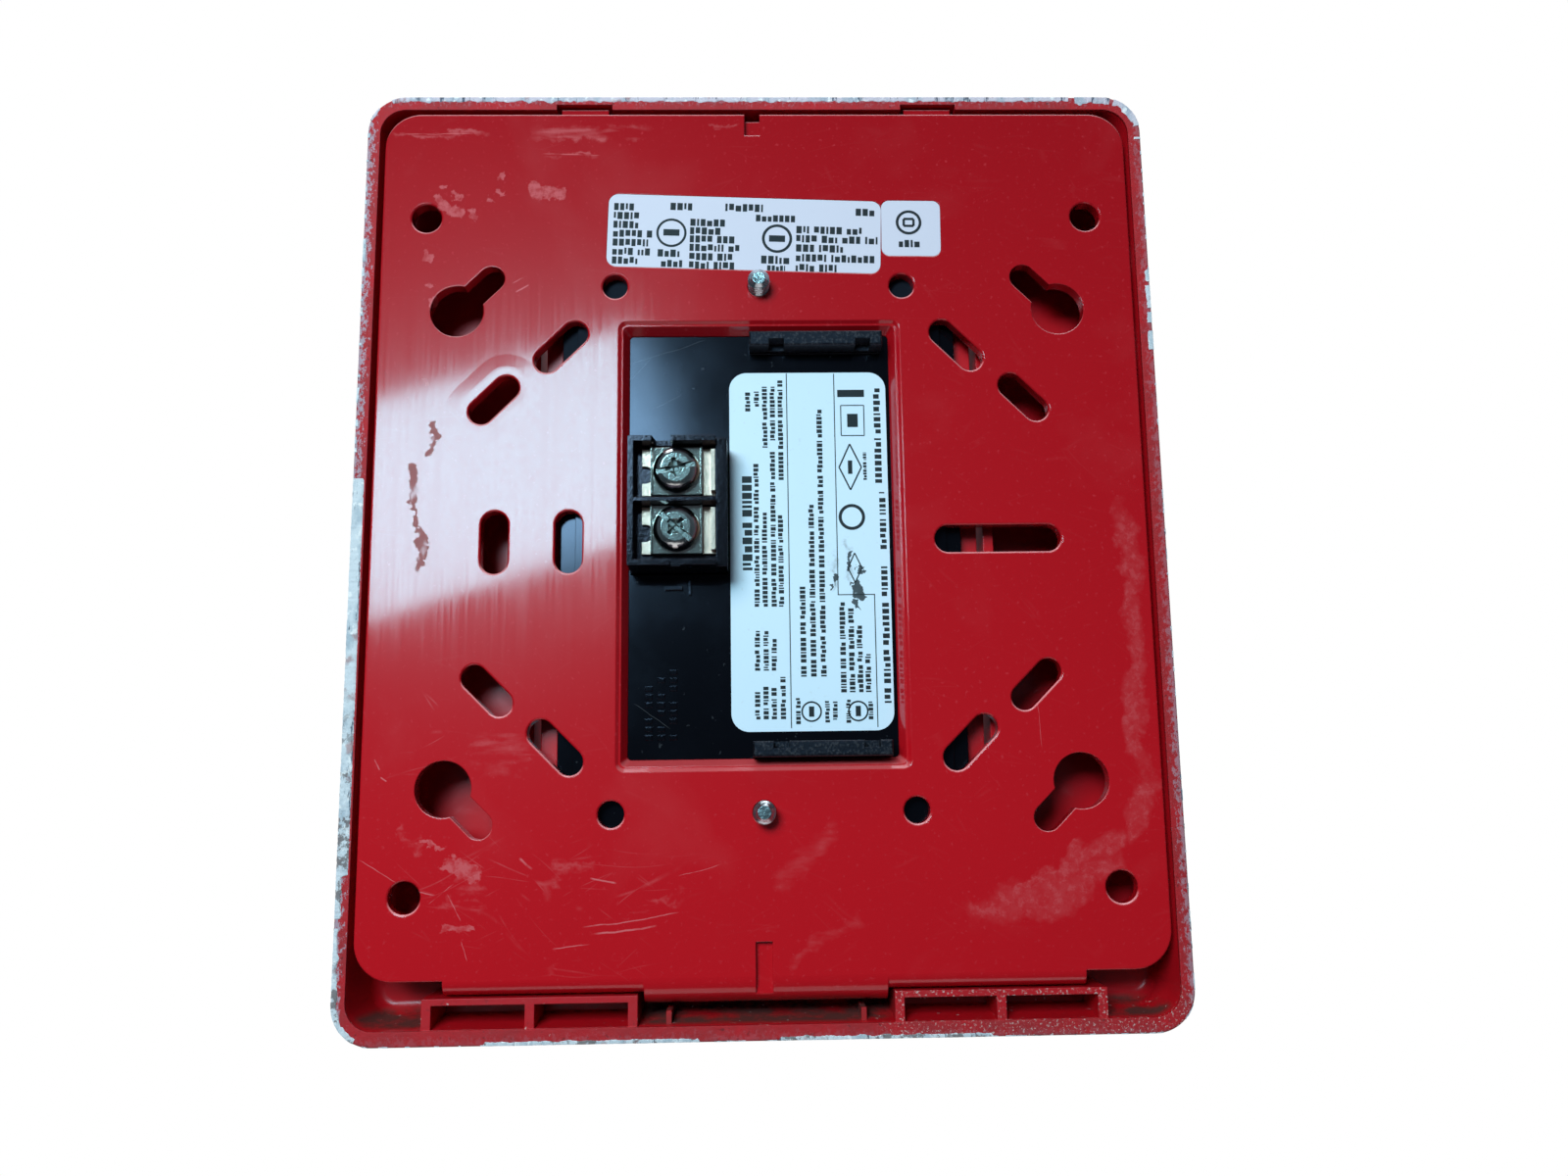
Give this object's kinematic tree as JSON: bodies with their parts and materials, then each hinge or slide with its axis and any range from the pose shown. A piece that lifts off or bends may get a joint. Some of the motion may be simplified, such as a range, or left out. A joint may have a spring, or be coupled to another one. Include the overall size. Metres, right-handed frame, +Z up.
{
  "type": "wall-mounted fire alarm strobe with trim frame and box plate",
  "caption": "Red wall strobe for a fire alarm: a plate with screw slots for electrical boxes, a clip-on trim frame and a black strobe unit with screw terminals at the back.",
  "frame": {"origin": "centre of the plate's two-gang hole pattern, on the wall plane", "axes": "+Z up the wall, -Y out of the wall into the room, +X to the right for someone facing the unit"},
  "size_m": [0.1268, 0.0319, 0.149],
  "materials": {
    "red_moulding": "satin red moulded plastic",
    "red_trim": "satin red moulded plastic",
    "black_moulding": "gloss black moulded plastic",
    "black_terminal": "fine-textured black moulded plastic",
    "label_stock": "satin label film",
    "clear_lens": "clear polycarbonate",
    "tinted_window": "clear polycarbonate",
    "bright_reflector": "vacuum metallised",
    "tube_glass": "borosilicate tube",
    "lead_wire": "tinned wire",
    "board_laminate": "green solder mask",
    "zinc_screw": "bright zinc plated steel",
    "nickel_contact": "bright nickel plated",
    "capacitor_sleeve": "shrink sleeve",
    "ferrite": "sintered ferrite",
    "coil_tape": "yellow film tape over copper",
    "coil_case": "potted case",
    "film_capacitor": "dipped film capacitor",
    "chip_package": "moulded package",
    "switch_case": "moulded nylon",
    "switch_slider": "white acetal",
    "wire_enamel": "insulated trigger wire"
  },
  "bodies": {
    "base": {"mounting_plate": "red_moulding", "plate_label": "label_stock", "approval_label": "label_stock", "strobe_rear_cover": "black_moulding", "rating_label": "label_stock", "strobe_housing": "black_moulding", "lens": "clear_lens", "reflector": "bright_reflector", "flash_tube": "tube_glass", "flash_tube_leads": "lead_wire", "circuit_board": "board_laminate", "board_screws": "zinc_screw", "storage_capacitor": "capacitor_sleeve", "transformer_core": "ferrite", "transformer_coil": "coil_tape", "trigger_coil": "coil_case", "trigger_wire": "wire_enamel", "trigger_capacitor": "film_capacitor", "control_chips": "chip_package", "selector_switch": "switch_case", "terminal_block": "black_terminal", "contact_upper": "nickel_contact", "contact_lower": "nickel_contact", "mounting_screws": "zinc_screw"},
    "trim": {"trim_frame": "red_trim"},
    "cover": {"strobe_cover": "red_trim", "setting_window": "tinted_window"},
    "selector": {"selector_slider": "switch_slider"},
    "clamp_upper": {"clamp_plate_upper": "nickel_contact"},
    "screw_upper": {"terminal_screw_upper": "zinc_screw"},
    "clamp_lower": {"clamp_plate_lower": "nickel_contact"},
    "screw_lower": {"terminal_screw_lower": "zinc_screw"}
  },
  "joints": [
    {"name": "trim_swing", "type": "hinge", "parent": "base", "child": "trim", "pos_m": [0, 0, 0.0746], "axis": [-1, 0, 0], "range_deg": [0, 40]},
    {"name": "cover_pull", "type": "slide", "parent": "base", "child": "cover", "axis": [0, -1, 0], "range_m": [0, 0.014]},
    {"name": "selector_slide", "type": "slide", "parent": "base", "child": "selector", "axis": [1, 0, 0], "range_m": [0, 0.0075]},
    {"name": "upper_clamp_lift", "type": "slide", "parent": "base", "child": "clamp_upper", "axis": [0, 1, 0], "range_m": [0, 0.0025]},
    {"name": "upper_screw_turn", "type": "hinge", "parent": "clamp_upper", "child": "screw_upper", "pos_m": [0.013, 0.003, 0.0104], "axis": [0, 1, 0], "range_deg": [0, 1134]},
    {"name": "lower_clamp_lift", "type": "slide", "parent": "base", "child": "clamp_lower", "axis": [0, 1, 0], "range_m": [0, 0.0025]},
    {"name": "lower_screw_turn", "type": "hinge", "parent": "clamp_lower", "child": "screw_lower", "pos_m": [0.013, 0.003, 0.0012], "axis": [0, 1, 0], "range_deg": [0, 1134]}
  ],
  "couplings": [
    {"joint": "upper_screw_turn", "follows": "upper_clamp_lift", "rad_per_m": 7913.3},
    {"joint": "lower_screw_turn", "follows": "lower_clamp_lift", "rad_per_m": 7913.3}
  ]
}
